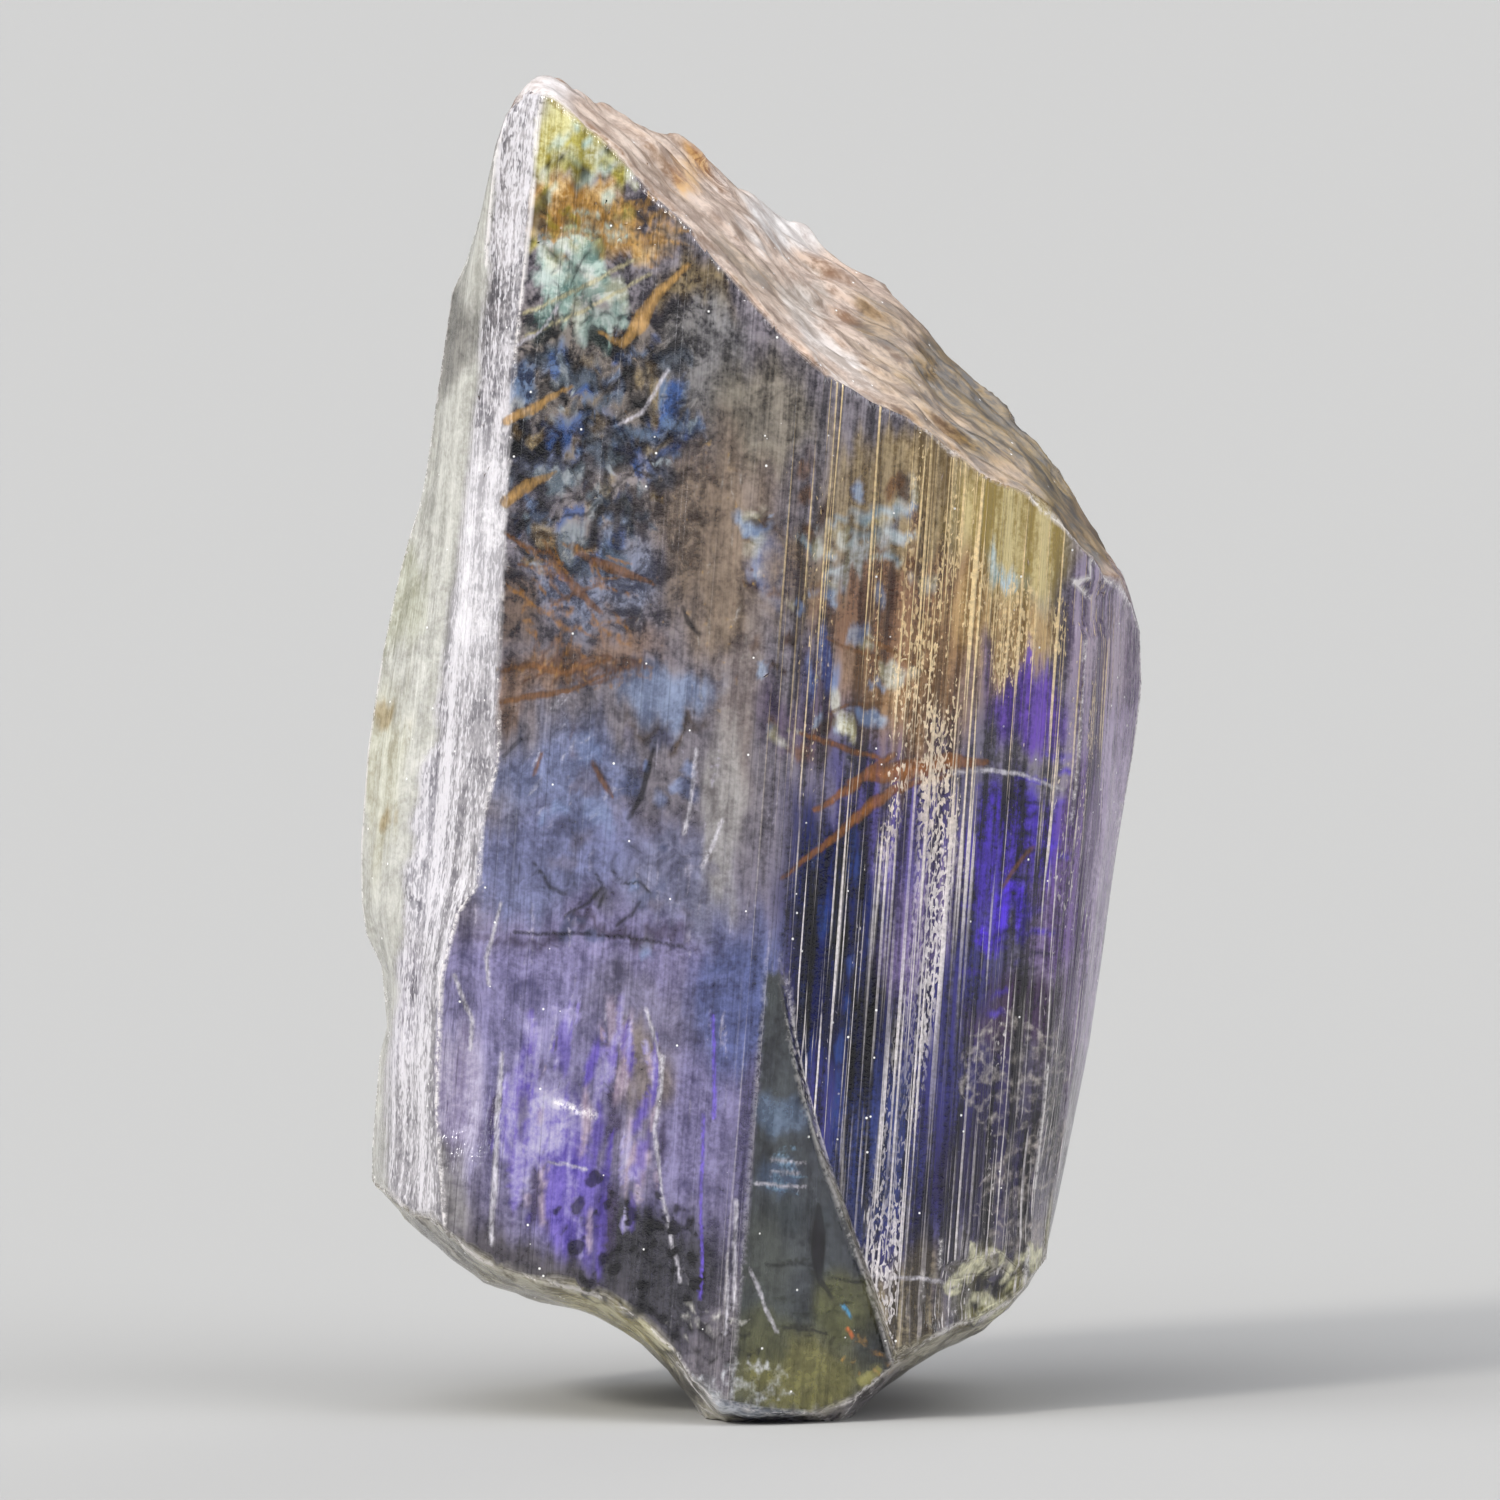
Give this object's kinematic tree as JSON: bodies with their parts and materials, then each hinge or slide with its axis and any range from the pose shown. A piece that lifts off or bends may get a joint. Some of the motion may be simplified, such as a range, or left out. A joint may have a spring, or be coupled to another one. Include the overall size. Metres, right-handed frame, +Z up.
{
  "type": "rough tanzanite crystal",
  "caption": "Rough, uncut tanzanite crystal: a striated violet-blue prism with a slanting pitted end, standing on a small worn flat at its broken foot.",
  "frame": {"origin": "under the middle of the crystal's box, on the surface that it stands on", "axes": "+Z up the standing crystal, its longest extent; +X to the right as seen from the front; +Y into its depth, away from the front; the prism edges lean about 5.5 degrees towards +X as they rise"},
  "size_m": [0.0144, 0.0104, 0.0247],
  "materials": {
    "tanzanite": "glassy where it cleaved, striated along the prism, frosted on the left strip and on the slanting end"
  },
  "bodies": {
    "root": {"crystal": "tanzanite"}
  },
  "joints": []
}
